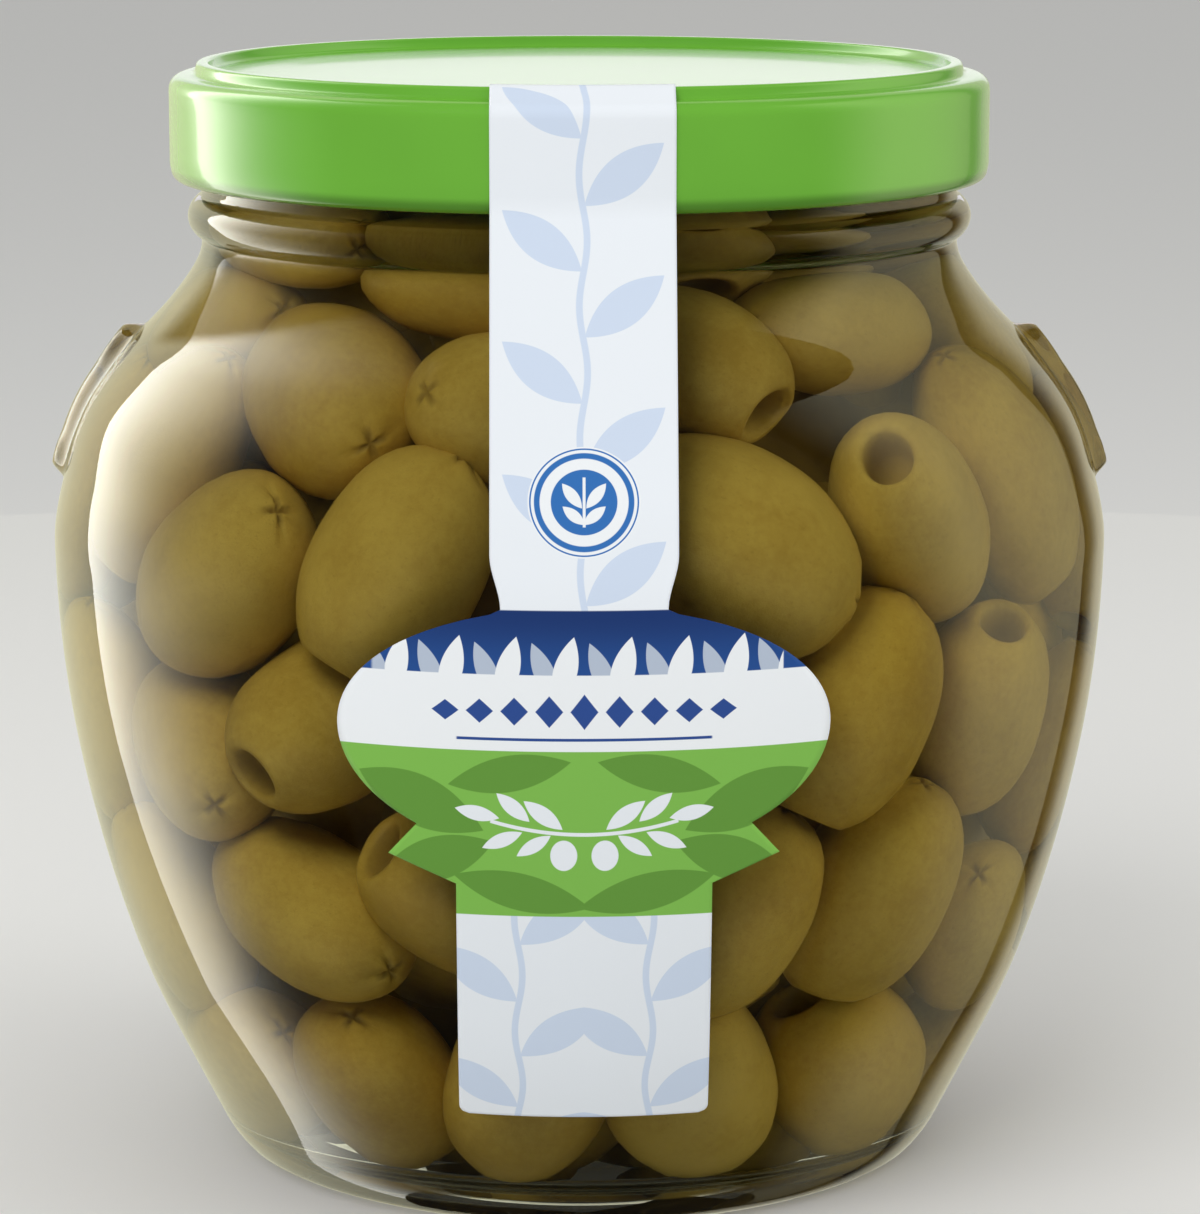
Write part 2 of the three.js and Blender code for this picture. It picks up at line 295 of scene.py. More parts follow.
def glowRight(across, up):
    front = across + 0.25 - up.band(0.38, 0.56) * 0.25
    return (across * 1.05 + 0.32).least(1) * (1 - front.band(0.58, 1)) * (up.band(0.3, 0.6) * 0.5 + 0.5)


# Studio: soft lamps that light the jar, cards that only show as reflections, and a pale floor.
studio = {
    "floorColour": (0.86, 0.86, 0.85), "floorRoughness": 0.75, "floorRadius": 9,
    "world": (0.60, 0.60, 0.59), "worldInReflections": (0.03, 0.03, 0.032),
    "aim": (0, 0, 0.08),
    "lamps": {
        "key": {"at": (-0.4, -0.7, 0.85), "size": (0.7, 0.6), "power": 5.2},
        "fill": {"at": (0.85, -0.15, 0.5), "size": (0.5, 0.7), "power": 2.2},
    },
    # Cards stand on rings round the jar. Azimuths count from the camera's side towards the left. A
    # lean is degrees forwards below a height, that height, and how softly it sets in.
    "cards": {
        "left": {
            "back": 136.5, "span": 68, "low": -1.0, "high": 0.62, "rise": 0.9, "ring": 0.55,
            "leans": ((12, 0.13, 0.03), (5.5, -0.18, 0.05)), "light": 6.1, "colour": (1, 0.98, 0.88),
            "glow": glowLeft,
        },
        "behindLeft": {
            "back": 180, "span": 43.5, "low": -1.0, "high": 1.0, "rise": 0, "ring": 0.55,
            "leans": ((12, 0.13, 0.03), (5.5, -0.18, 0.05)), "light": 1.5, "colour": (1, 0.97, 0.72),
            "glow": glowBehindLeft,
        },
        "behindRight": {
            "back": -180, "span": -43, "low": -1.0, "high": 1.0, "rise": 0, "ring": 0.55,
            "leans": (), "light": 0.68, "colour": (1, 0.96, 0.76), "glow": glowBehindRight,
        },
        "behindLid": {
            "back": 160, "span": -40, "low": 0.15, "high": 0.36, "rise": 0, "ring": 0.5,
            "leans": (), "light": 1.32, "colour": (1, 0.96, 1), "glow": None,
        },
        "right": {
            "back": -134.5, "span": -72.5, "low": -1.0, "high": 0.62, "rise": 0.3, "ring": 0.55,
            "leans": (), "light": 1.4, "colour": (1, 0.94, 0.68), "glow": glowRight,
        },
    },
}


def addLamp(name, at, size, power):
    data = bpy.data.lights.new(name, "AREA")
    data.shape = "RECTANGLE"
    data.size, data.size_y = size
    data.energy = power
    lamp = bpy.data.objects.new(name, data)
    lamp.location = at
    aim = Vector(studio["aim"]) - Vector(at)
    lamp.rotation_euler = aim.to_track_quat("-Z", "Y").to_euler()
    lamp.visible_camera = False
    lamp.visible_glossy = False
    lamp.visible_transmission = False
    scene.collection.objects.link(lamp)


def addCard(name, back, span, low, high, rise, ring, leans, light, colour, glow):
    bm = bmesh.new()
    bmesh.ops.create_grid(bm, x_segments=32, y_segments=64, size=0.5)
    place = bm.loops.layers.uv.new("glow")
    for face in bm.faces:
        for loop in face.loops:
            loop[place].uv = (loop.vert.co.x + 0.5, loop.vert.co.y + 0.5)
    for vert in bm.verts:
        across, up = vert.co.x + 0.5, vert.co.y + 0.5
        z = low + (high + rise * across - low) * up
        lean = sum(amount / (1 + math.exp((z - at) / over)) for amount, at, over in leans)
        if back == 180:
            lean *= across  # right behind the jar the edge stays upright
        turn = math.radians(back - lean - span * across)
        vert.co = Vector((-math.sin(turn), -math.cos(turn), 0)) * ring + Vector((0, 0, z))
    mesh = bpy.data.meshes.new(f"card_{name}")
    bm.to_mesh(mesh)
    bm.free()
    finish = Finish(f"card_{name}")
    shown = solidColour(*colour)
    if glow:
        across, up, _ = finish.axes(finish.node("ShaderNodeUVMap", {"uv_map": "glow"})["UV"])
        shown = finish.mix(glow(across, up), (0, 0, 0), colour)
    lit = finish.node("ShaderNodeEmission", None, {"Color": shown, "Strength": light})["Emission"]
    material = finish.done(lit)
    material.cycles.emission_sampling = "NONE"
    mesh.materials.append(material)
    card = bpy.data.objects.new(f"card_{name}", mesh)
    for seen in ("camera", "diffuse", "transmission", "shadow", "volume_scatter"):
        setattr(card, f"visible_{seen}", False)
    scene.collection.objects.link(card)


def addStudio():
    sky = Finish("studio", bpy.data.worlds.new("studio"))
    mirrored = sky.node("ShaderNodeLightPath")["Is Glossy Ray"]
    shown = sky.mix(mirrored, studio["world"], studio["worldInReflections"])
    lit = sky.node("ShaderNodeBackground", None, {"Color": shown})["Background"]
    sky.node("ShaderNodeOutputWorld", None, {"Surface": lit})
    scene.world = sky.owner
    for name, values in studio["lamps"].items():
        addLamp(f"lamp_{name}", **values)
    for name, values in studio["cards"].items():
        addCard(name, **values)
    finish = Finish("floor")
    surface = finish.principled(
        Base_Color=solidColour(*studio["floorColour"]), Roughness=studio["floorRoughness"],
    )
    bm = bmesh.new()
    bmesh.ops.create_circle(bm, cap_ends=True, segments=96, radius=studio["floorRadius"])
    mesh = bpy.data.meshes.new("floor")
    bm.to_mesh(mesh)
    bm.free()
    mesh.materials.append(finish.done(surface))
    floor = bpy.data.objects.new("floor", mesh)
    floor.visible_glossy = False
    scene.collection.objects.link(floor)
    scene.view_settings.view_transform = "Standard"
    scene.cycles.use_denoising = True
    scene.cycles.caustics_reflective = False
    scene.cycles.caustics_refractive = True
    scene.cycles.max_bounces = 12
    scene.cycles.diffuse_bounces = 3
    scene.cycles.glossy_bounces = 6
    scene.cycles.transmission_bounces = 10
    scene.cycles.transparent_max_bounces = 16
    report("camera and studio")


clearLooks = {
    "glassColour": (0.985, 0.995, 0.98), "glassBend": 1.5,
    "brineColour": (0.98, 0.965, 0.86), "brineBend": 1.34, "brineTop": 144, "intoWall": 0.4,
}
ear = {
    "middle": 104.5, "length": 20.2, "width": 12, "proud": 2.2, "rimWidth": 2.6, "recess": 0.3,
    "soft": 3.4, "reach": 9, "cuts": 3,
}


# Glass and brine let lamp light straight through, so that the olives behind them are lit. A calm
# face mirrors nothing: it bends the light, or lets it go on straight where it is flat.
def clearFinish(name, colour, bend, mirrors):
    finish = Finish(name)
    values = {"Color": solidColour(*colour), "Roughness": 0, "IOR": bend}
    through = finish.node("ShaderNodeBsdfTransparent", None, {"Color": solidColour(*colour)})["BSDF"]
    bent = finish.node("ShaderNodeBsdfRefraction", None, values)["BSDF"]
    clear = finish.mixShaders(finish.node("ShaderNodeFresnel", None, {"IOR": bend})["Fac"], bent, through)
    if mirrors:
        bright = finish.node("ShaderNodeBsdfGlass", None, values)["BSDF"]
        clear = finish.mixShaders(calmNeck(finish), bright, clear)
    lamps = finish.node("ShaderNodeLightPath")["Is Shadow Ray"]
    return finish.done(finish.mixShaders(lamps, clear, through))


def calmNeck(finish):
    # the left of the neck, between the shoulder and the bead, mirrors little of the left card
    x, y, z = (axis / mm for axis in finish.axes(finish.place()))
    return (z - x * 0.23).band(127.6, 129.2) * (1 - z.band(127, 128)) * (-y).band(15, 24) * 0.85


def insidePoints(extra):
    # the inside of the glass from the rim down to the middle of the floor, moved into the wall
    top = jarShape["rim"] - 0.8
    wall = [(innerRadius(z) + extra, z) for z in between(9, top, 120)][::-1]
    corner = innerRadius(9)
    floor = jarShape["floor"] - extra
    turn = arc((corner - 4.5, 9), 4.5 + extra, 0, -80, 8)[1:]
    squeeze = (9 - floor) / (4.5 + extra)
    turn = [(r, 9 + (z - 9) * squeeze) for r, z in turn]
    return wall + turn + [(30, floor + 0.15), (0, floor + 0.6)]


def earLift(co):
    # how far the wall stands out at a place on it, for the raised rim and its recess
    across = math.hypot(co.x, co.y) / mm * math.atan2(abs(co.y), abs(co.x))
    straight = (ear["length"] - ear["width"]) / 2
    away = max(math.hypot(across, max(abs(co.z / mm - ear["middle"]) - straight, 0)), 0.01)
    edge = ear["width"] / 2
    inner = edge - ear["rimWidth"]
    ramp = 1.1 + ear["soft"] * (across / away) ** 2
    raised = ear["proud"] * (1 - smoothStep(edge - ramp, edge + 0.9, away))
    return raised - ear["recess"] * (1 - smoothStep(inner - 3, inner + 1, away))


def makeGlass():
    pushUp = jarShape["pushUp"]
    foot = [(0, pushUp), (30, pushUp), (33.5, 1.7), (35.5, 0.6), (37, 0.05), (39, 0), (44, 0), (45, 0.08)]
    heights = between(0.3, 6, 10) + between(7, jarShape["beadHeight"] - jarShape["beadHalf"] - 0.3, 118)
    outside = [(outerRadius(z), z) for z in heights]
    bead = []
    for degrees in between(12, 168, 14):
        turn = math.radians(degrees)
        z = jarShape["beadHeight"] - jarShape["beadHalf"] * math.cos(turn)
        bead.append((outerRadius(z) + jarShape["beadProud"] * math.sin(turn) ** 1.5, z))
    finishTop = [(outerRadius(z), z) for z in between(134.5, jarShape["rim"] - 0.8, 8)]
    rim = [(51.4, 148.8), (50.8, 149), (49.8, 149), (49.2, 148.8)]
    bm = spinProfile(foot + outside + bead + finishTop + rim + insidePoints(0), jarShape["steps"])
    near = []
    for edge in bm.edges:
        places = [vert.co for vert in edge.verts]
        if all(
            abs(co.y) < ear["reach"] * mm
            and abs(co.z / mm - ear["middle"]) < ear["length"] / 2 + 2.5
            and math.hypot(co.x, co.y) / mm > outerRadius(co.z / mm) - 0.5
            for co in places
        ):
            near.append(edge)
    bmesh.ops.subdivide_edges(bm, edges=near, cuts=ear["cuts"], use_grid_fill=True)
    for vert in bm.verts:
        co = vert.co
        z = co.z / mm
        if abs(co.y) < 12 * mm and 88 < z < 120 and math.hypot(co.x, co.y) / mm > outerRadius(z) - 0.9:
            out = Vector((co.x, co.y, 0)).normalized() - Vector((0, 0, outerSlope(z)))
            backToRound = outerRadius(z) * mm / math.hypot(co.x, co.y)
            lift = earLift(co)
            co.x *= backToRound
            co.y *= backToRound
            vert.co = co + out.normalized() * lift * mm
    colour, bend = clearLooks["glassColour"], clearLooks["glassBend"]
    bm.normal_update()
    heart = Vector((0, 0, 90 * mm))
    for face in bm.faces:
        face.material_index = int(face.normal.dot(heart - face.calc_center_median()) > 0)
    material = clearFinish("clear_glass", colour, bend, True)
    piece = makePiece("glass_jar", bm, material, "clear_glass", "jar_glass")
    piece.data.materials.append(clearFinish("clear_glass_inside", colour, bend, False))


def makeBrine():
    points = [point for point in insidePoints(clearLooks["intoWall"]) if point[1] < clearLooks["brineTop"]]
    top = clearLooks["brineTop"]
    points = [(0, top), (innerRadius(top) + clearLooks["intoWall"], top)] + points
    bm = spinProfile(points, 128)
    material = clearFinish("brine", clearLooks["brineColour"], clearLooks["brineBend"], False)
    makePiece("brine", bm, material, "brine")


lid = {
    "radius": 56.2, "bottom": 135.8, "top": 151.7, "sheet": 0.6, "shoulder": 2, "ringOuter": 52.4,
    "ringHeight": 1.7, "ringTop": 1.6, "panelDrop": 1.5, "curl": 1.25, "steps": 192,
    "green": (0.155, 0.455, 0.042), "cloudShade": 0.93, "paintedCurlShade": 0.55, "roughness": 0.22,
    "coat": 0.34, "coatRoughness": 0.06,
}


def lidFinish():
    finish = Finish("green_enamel")
    place = finish.place()
    cloud = finish.noise(place, 40, 2)
    peel = finish.noise(place, 900, 2)
    clouded, edge = (tuple(v * lid[key] for v in lid["green"]) for key in ("cloudShade", "paintedCurlShade"))
    colour = finish.mix(cloud.band(0.3, 0.7), clouded, lid["green"])
    # painted shade: the lid is mixed to a darker green in its lowest 2 mm, where its curled edge lies in
    # shade
    overEdge = finish.axes(place)[2] / mm - lid["bottom"]
    surface = finish.principled(
        Base_Color=finish.mix(overEdge.band(0.9, 2.2), edge, colour), Roughness=lid["roughness"],
        Normal=finish.bump(peel, 0.00002, 0.35), Coat_Weight=lid["coat"], Coat_Roughness=lid["coatRoughness"],
    )
    return finish.done(surface)


def makeLid():
    outer, bottom, top = lid["radius"], lid["bottom"], lid["top"]
    ledge = top - lid["ringHeight"]
    panel = top - lid["panelDrop"]
    ring = lid["ringOuter"]
    inner = outer - lid["sheet"]
    ringInner = ring - lid["ringTop"]
    under = panel - lid["sheet"]
    inside = [(0, under), (20, under), (40, under), (inner - 2, under)]
    inside += arc((inner - 2, under - 2), 2, 90, 0, 4)[1:] + [(inner, bottom + 4)]
    curl = arc((outer - lid["curl"] - 0.2, bottom + lid["curl"]), lid["curl"], 150, 345, 12)
    wall = [(outer, z) for z in between(bottom + 2.2, ledge - lid["shoulder"], 6)]
    shoulder = arc((outer - lid["shoulder"], ledge - lid["shoulder"]), lid["shoulder"], 0, 84, 7)[1:]
    step = [(ring + 1.2, ledge + 0.02), (ring + 0.55, ledge + 0.12), (ring + 0.2, ledge + 0.5)]
    crown = arc((ring - 0.55, top - 0.6), 0.6, 10, 90, 5)
    crown += arc((ringInner + 0.35, top - 0.4), 0.4, 90, 175, 5)
    sink = [(ringInner - 0.2, panel + 0.45), (ringInner - 0.5, panel + 0.1), (ringInner - 1, panel)]
    face = [(40, panel + 0.02), (20, panel + 0.05), (0, panel + 0.06)]
    bm = spinProfile(inside + curl + wall + shoulder + step + crown + sink + face, lid["steps"])
    makePiece("twist_lid", bm, lidFinish(), "green_enamel", "lid")


label = {
    "bottom": 18.6, "azimuth": 0.45, "lift": 0.12, "paper": 0.14, "columns": 56,
    "strapHalf": 11.85, "waistHalf": 10.5, "waist": 88.4, "waistTop": 95,
    "ovalHalf": 32.2, "ovalMiddle": 72.9, "ovalUp": 16, "ovalDown": 17.2,
    "notch": 60.1, "finTip": 55.8, "finHalf": 25.4, "panelTop": 52.2, "panelHalf": 16.4, "corner": 1.3,
    "greenBottom": 48.2, "greenTop": 70.2, "blueBottom": 79.6, "emblem": 101.1,
}
labelInks = {
    "paper": (0.80, 0.84, 0.89), "paleBlue": (0.60, 0.69, 0.84), "deep": (0.006, 0.035, 0.17),
    "deepLow": (0.012, 0.075, 0.30), "white": (0.84, 0.87, 0.9), "leafShade": (0.45, 0.52, 0.64),
    "green": (0.21, 0.50, 0.075), "darkGreen": (0.125, 0.32, 0.04), "blue": (0.02, 0.07, 0.30),
    "emblem": (0.03, 0.16, 0.48),
}


def dieHalfWidth(z):
    if z >= label["waist"]:
        share = smoothStep(label["waist"], label["waistTop"], z)
        return label["waistHalf"] + (label["strapHalf"] - label["waistHalf"]) * share
    if z >= label["notch"]:
        reach = label["ovalUp"] if z > label["ovalMiddle"] else label["ovalDown"]
        return label["ovalHalf"] * math.sqrt(max(1 - ((z - label["ovalMiddle"]) / reach) ** 2, 0))
    if z >= label["finTip"]:
        share = (label["notch"] - z) / (label["notch"] - label["finTip"])
        return dieHalfWidth(label["notch"]) * (1 - share) + label["finHalf"] * share
    if z >= label["panelTop"]:
        share = (label["finTip"] - z) / (label["finTip"] - label["panelTop"])
        return label["finHalf"] * (1 - share) + label["panelHalf"] * share
    up = min((z - label["bottom"]) / label["corner"], 1)
    return label["panelHalf"] - label["corner"] * (1 - math.sqrt(max(1 - (1 - up) ** 2, 0)))


def labelPath():
    # (radius, height) up the jar: on the wall, straight across the neck, and over the lid's edge
    lift = label["lift"]
    edge = (lid["radius"] + lift, lid["bottom"] + 1)
    touching = [(shiftedRadius(z, lift), z) for z in between(88, 124, 72)]
    leaving = max(touching, key=lambda point: (point[0] - edge[0]) / (edge[1] - point[1]))
    marks = [label[key] for key in ("panelTop", "finTip", "notch", "ovalMiddle", "waist")]
    heights = between(label["bottom"] + 0.3, label["bottom"] + label["corner"], 5)
    heights = sorted(heights + between(21, leaving[1] - 1, 100) + marks + [label["bottom"]])
    wall = [(shiftedRadius(z, lift), z) for z in heights]
    free = [
        (leaving[0] + (edge[0] - leaving[0]) * share, leaving[1] + (edge[1] - leaving[1]) * share)
        for share in between(0, 0.96, 20)
    ]
    ledge = lid["top"] - lid["ringHeight"]
    middle = (lid["radius"] - lid["shoulder"], ledge - lid["shoulder"])
    over = [(edge[0], z) for z in between(edge[1], middle[1], 8)]
    over += arc(middle, lid["shoulder"] + lift, 8, 62, 5)
    over += [(lid["ringOuter"] + 0.55, lid["top"] - 0.55), (lid["ringOuter"] + 0.1, lid["top"] - 0.1)]
    over += [(lid["ringOuter"] - 0.4, lid["top"] + lift), (lid["ringOuter"] - 1.3, lid["top"] + lift)]
    return wall + free + over


def makeLabel():
    path = labelPath()
    steps = len(path) - 1
    lengths = [0]
    for (r0, z0), (r1, z1) in zip(path, path[1:]):
        lengths.append(lengths[-1] + math.hypot(r1 - r0, z1 - z0))
    bm = bmesh.new()
    bmesh.ops.create_grid(bm, x_segments=label["columns"], y_segments=steps, size=1)
    across = {}
    for vert in bm.verts:
        row = round((vert.co.y + 1) / 2 * steps)
        r, z = path[row]
        arcLength = vert.co.x * dieHalfWidth(z)
        across[vert] = (arcLength, lengths[row])
        turn = math.radians(label["azimuth"]) + arcLength / r
        vert.co = Vector((r * math.sin(turn), -r * math.cos(turn), z)) * mm
    place = bm.loops.layers.uv.new("print")
    for face in bm.faces:
        for loop in face.loops:
            loop[place].uv = across[loop.vert]
    bmesh.ops.recalc_face_normals(bm, faces=bm.faces)
    front = min(bm.faces, key=lambda face: (face.calc_center_median() - Vector((0, -0.073, 0.08))).length)
    if front.normal.y > 0:
        bmesh.ops.reverse_faces(bm, faces=bm.faces)
    bmesh.ops.solidify(bm, geom=bm.faces[:], thickness=-label["paper"] * mm)

    def lengthAt(height):
        row = min(range(len(path)), key=lambda i: abs(path[i][1] - height))
        return lengths[row]

    makePiece("paper_label", bm, labelFinish(lengthAt), "label_paper", "label")


def leafMask(u, v, at, turn, length, width):
    # a pointed leaf, with its middle at a place on the paper, in millimetres
    c, s = math.cos(math.radians(turn)), math.sin(math.radians(turn))
    x = (u - at[0]) * c + (v - at[1]) * s
    y = (v - at[1]) * c - (u - at[0]) * s
    room = (1 - (x / length) ** 2) * width - abs(y)
    return room.band(-0.05, 0.05)


def ovalMask(u, v, at, width, height):
    away = (((u - at[0]) / width) ** 2 + ((v - at[1]) / height) ** 2).root()
    return 1 - away.band(0.97, 1.03)


def either(*masks):
    joined = masks[0]
    for mask in masks[1:]:
        joined = joined.most(mask)
    return joined


def sprig(u, v, period):
    # leaves on both sides of a stem, repeated up the paper
    right = v % period - period / 2
    left = (v + period / 2) % period - period / 2
    stem = 1 - abs(u - (v * (math.tau / period)).cosine() * 0.5).band(0.35, 0.5)
    leaves = leafMask(u, right, (5.2, 0), 38, 6.4, 2.5), leafMask(u, left, (-5.2, 0), 142, 6.4, 2.5)
    return either(stem, *leaves)


def labelFinish(lengthAt):
    finish = Finish("label_print")
    u, v, _ = finish.axes(finish.node("ShaderNodeUVMap", {"uv_map": "print"})["UV"])
    side = abs(u)
    places = ("greenBottom", "greenTop", "blueBottom", "waist", "emblem")
    marks = {key: lengthAt(label[key]) for key in places}

    strapPrint = sprig(u, v, 17)
    panelPrint = sprig(side - 8.4, v + 3, 17)
    upper = v.band(marks["greenTop"] - 0.1, marks["greenTop"] + 0.1)
    pale = panelPrint * (1 - upper) + strapPrint * upper
    colour = finish.mix(pale, labelInks["paper"], labelInks["paleBlue"])

    # the deep-blue field with white upright leaves, and the white band under it
    fade = v.band(marks["blueBottom"], marks["waist"])
    deep = finish.mix(fade, labelInks["deepLow"], labelInks["deep"])
    foot = v - marks["blueBottom"]
    lean = u % 7.2 - 3.6
    shade = leafMask(lean, foot, (-1.4, 0.6), 112, 4.2, 1.3)
    tall = leafMask(lean, foot, (1.2, 0.8), 76, 4.6, 1.5) * (1 - side.band(25.4, 25.6))
    picture = finish.mix(shade * (1 - side.band(27, 27.5)), deep, labelInks["leafShade"])
    picture = finish.mix(either(tall, 1 - foot.band(0.3, 0.42)), picture, labelInks["white"])
    inPicture = v.band(marks["greenTop"] - 0.05, marks["greenTop"] + 0.05)
    inPicture = inPicture * (1 - v.band(marks["waist"] - 0.1, marks["waist"] + 0.1))
    bandMiddle = marks["greenTop"] + 5.2
    diamond = abs((u + 2.2) % 4.4 - 2.2) / 1.75 + abs(v - bandMiddle) / (2.3 - side * 0.055)
    row = (1 - diamond.band(0.96, 1.04)) * (1 - side.band(19.6, 19.8))
    rule = (1 - abs(v - marks["greenTop"] - 1.55).band(0.16, 0.22)) * (1 - side.band(16, 16.3))
    picture = finish.mix(either(row, rule), picture, labelInks["blue"])
    colour = finish.mix(inPicture, colour, picture)

    # the green field: broad dark leaves, and a white branch with two olives
    inGreen = v.band(marks["greenBottom"] - 0.05, marks["greenBottom"] + 0.05)
    inGreen = inGreen * (1 - v.band(marks["greenTop"] - 0.05, marks["greenTop"] + 0.05))
    g = v - marks["greenBottom"]
    leaves = [
        ((21, 15.5), 24, 9, 3.4), ((19, 7.6), -20, 8, 3), ((8, 3.4), 14, 9, 2.6), ((9.5, 19.6), -12, 8, 2.4),
    ]
    broad = either(*(leafMask(side, g, *leaf) for leaf in leaves))
    green = finish.mix(broad, labelInks["green"], labelInks["darkGreen"])
    height = g - 11.5
    stem = 1 - (abs(height - side * side * 0.012).band(0.2, 0.3)).most(side.band(11.8, 12))
    leaves = [
        ((5.2, 2.6), 38, 3.1, 1.1), ((9, 3.6), 42, 2.8, 1), ((13.6, 2.7), 12, 2.9, 1),
        ((10.4, -0.9), -24, 2.8, 0.95), ((6.4, -1.6), -34, 2.6, 0.9),
    ]
    fruit = ovalMask(side, height, (2.6, -2.9), 1.7, 2.1)
    white = either(stem, fruit, *(leafMask(side, height, *leaf) for leaf in leaves))
    green = finish.mix(white, green, labelInks["paper"])
    colour = finish.mix(inGreen, colour, green)

    # the small round emblem on the strap
    w = v - marks["emblem"]
    away = (u * u + w * w).root()
    colour = finish.mix(1 - away.band(7, 7.1), colour, labelInks["white"])
    ring = 1 - abs(away - 5.9).band(0.3, 0.42)
    thin = 1 - abs(away - 6.75).band(0.07, 0.13)
    disc = 1 - away.band(4.1, 4.2)
    sprout = either(
        leafMask(side, w, (1.5, 0.8), 52, 2, 0.75), leafMask(side, w, (1.3, -1.7), 40, 1.8, 0.7),
        1 - (side.band(0.14, 0.22)).most(abs(w).band(3.1, 3.2)),
    )
    emblem = either(ring, thin, disc * (1 - sprout))
    colour = finish.mix(emblem, colour, labelInks["emblem"])

    fibre = finish.noise(finish.place(), 1600, 3)
    surface = finish.principled(
        Base_Color=colour, Roughness=0.5, Normal=finish.bump(fibre, 0.00001, 0.3),
        Coat_Weight=0.08, Coat_Roughness=0.25, Specular_IOR_Level=0.3,
    )
    return finish.done(surface)


# The olives that show from the front: azimuth and height of the middle, the lean of the end that
# shows, clockwise from upright, its tip outwards, all in degrees, and the size.
frontOlives = [
    (-41, 107, 120, 20, 1.07, "slit"), (-64, 98, 25, 0, 1, "slit"), (-50, 86, 50, 8, 1.03, "slit"),
    (-25, 91, 30, 0, 1, "slit"), (-11, 108, -100, 50, 1, "slit"), (-22, 123, 95, 0, 0.97, "hole"),
    (-55, 64, 112, 40, 1, "slit"), (-37, 71, -140, 58, 0.98, "hole"),
    (-39, 46, 112, 15, 1.01, "slit"), (-17, 47, -50, 25, 1, "hole"), (-35, 19, 12, 24, 1.02, "slit"),
    (-66, 23, 60, 0, 1, "slit"), (-8, 22, 15, 0, 1, "slit"), (-85, 94, 20, 0, 1, "slit"),
    (-77, 62, 10, 0, 1, "slit"), (-73, 39, -15, 0, 1, "slit"), (-62, 126, 90, 0, 0.95, "slit"),
    (-72, 112, 70, 0, 0.95, "slit"), (45, 114, -85, 10, 1, "slit"), (18, 111, 145, 15, 0.98, "hole"),
    (48, 92, -46, 30, 0.96, "hole"), (65, 96, -20, 0, 1.04, "slit"),
    (22, 92, 118, 8, 1.12, "slit"), (36, 70, 25, 0, 1.03, "slit"), (59, 68, -12, 22, 1, "hole"),
    (43, 46, 12, 8, 1.05, "slit"), (68, 38, -45, 18, 0.98, "slit"), (23, 43, 25, 0, 1.02, "slit"),
    (45, 22, 142, 18, 1, "slit"), (14, 22, -20, 0, 1.02, "slit"),
]
olive = {"half": 15.4, "girth": 10.8, "clearance": 1.35, "ceiling": 141, "pit": 3.5, "segments": 32}
rings = {"heights": (15, 38, 62, 85, 107, 126), "spacing": 26, "clear": 17, "seed": 7}
settling = {
    "steps": 70, "lastSteps": 6, "pinnedShare": 0.12, "homing": 0.3, "endBall": 0.88, "endPlace": 0.38,
    "toWall": 0.5, "mostOverlap": 3,
}
# pit is a dark brown used for painted shade, in the pit's hollow and on the second layer of olives
oliveSkin = {
    "light": (0.62, 0.44, 0.10), "deep": (0.46, 0.30, 0.055), "bruise": (0.26, 0.16, 0.035),
    "amber": (0.60, 0.39, 0.055), "amberDeep": (0.44, 0.25, 0.03), "pit": (0.33, 0.21, 0.05),
    "roughness": 0.38,
}


def drawing(seed):
    state = seed
    while True:
        state = (state * 16807) % 2147483647
        yield state / 2147483647


class Olive:
    def __init__(self, azimuth, height, lean, tip, size, end, pinned, deeper=0):
        slope = math.atan(outerSlope(height))
        outwards = Vector((math.cos(slope), 0, -math.sin(slope)))
        upwards = Vector((math.sin(slope), 0, math.cos(slope)))
        leaning, tipping = math.radians(lean), math.radians(tip)
        axis = upwards * math.cos(leaning) * math.cos(tipping)
        axis += Vector((0, 1, 0)) * math.sin(leaning) * math.cos(tipping)
        axis += outwards * math.sin(tipping)
        depth = jarShape["wall"] + olive["clearance"] + olive["girth"] * size + deeper
        turn = Matrix.Rotation(math.radians(azimuth) - math.pi / 2, 3, "Z")
        self.middle = turn @ Vector((shiftedRadius(height, -depth), 0, height))
        self.axis = turn @ axis
        self.home = self.middle.copy()
        self.size, self.end, self.pinned = size, end, pinned

    def balls(self):
        step = self.axis * settling["endPlace"] * olive["half"] * self.size
        girth = olive["girth"] * self.size
        small = girth * settling["endBall"]
        return [(self.middle - step, small), (self.middle, girth), (self.middle + step, small)]


def deepestOverlap(one, other):
    deepest, way = 0, Vector()
    if (one.middle - other.middle).length > 2.2 * olive["half"]:
        return deepest, way
    others = other.balls()
    for at, radius in one.balls():
        for otherAt, otherRadius in others:
            overlap = radius + otherRadius - (at - otherAt).length
            if overlap > deepest:
                deepest, way = overlap, (at - otherAt).normalized()
    return deepest, way


def pushApart(one, other):
    deepest, way = deepestOverlap(one, other)
    share = 0.5 if one.pinned == other.pinned else settling["pinnedShare"]
    mine = share if one.pinned or not other.pinned else 1 - share
    one.middle += way * deepest * mine
    other.middle += way * deepest * (mine - 1)


def keepInside(one):
    slack = math.inf
    for at, radius in one.balls():
        room = (innerRadius(at.z) - math.hypot(at.x, at.y)) / math.hypot(1, outerSlope(at.z))
        slack = min(slack, room - radius - olive["clearance"])
    across = math.hypot(one.middle.x, one.middle.y)
    move = slack if slack < 0 else slack * settling["toWall"]
    one.middle.x *= 1 + move / across
    one.middle.y *= 1 + move / across
    keepLevel(one)


def keepLevel(one):
    lowest = min(at.z - radius for at, radius in one.balls())
    highest = max(at.z + radius for at, radius in one.balls())
    one.middle.z += max(jarShape["floor"] + 0.6 + olive["clearance"] - lowest, 0)
    one.middle.z -= max(highest - olive["ceiling"], 0)


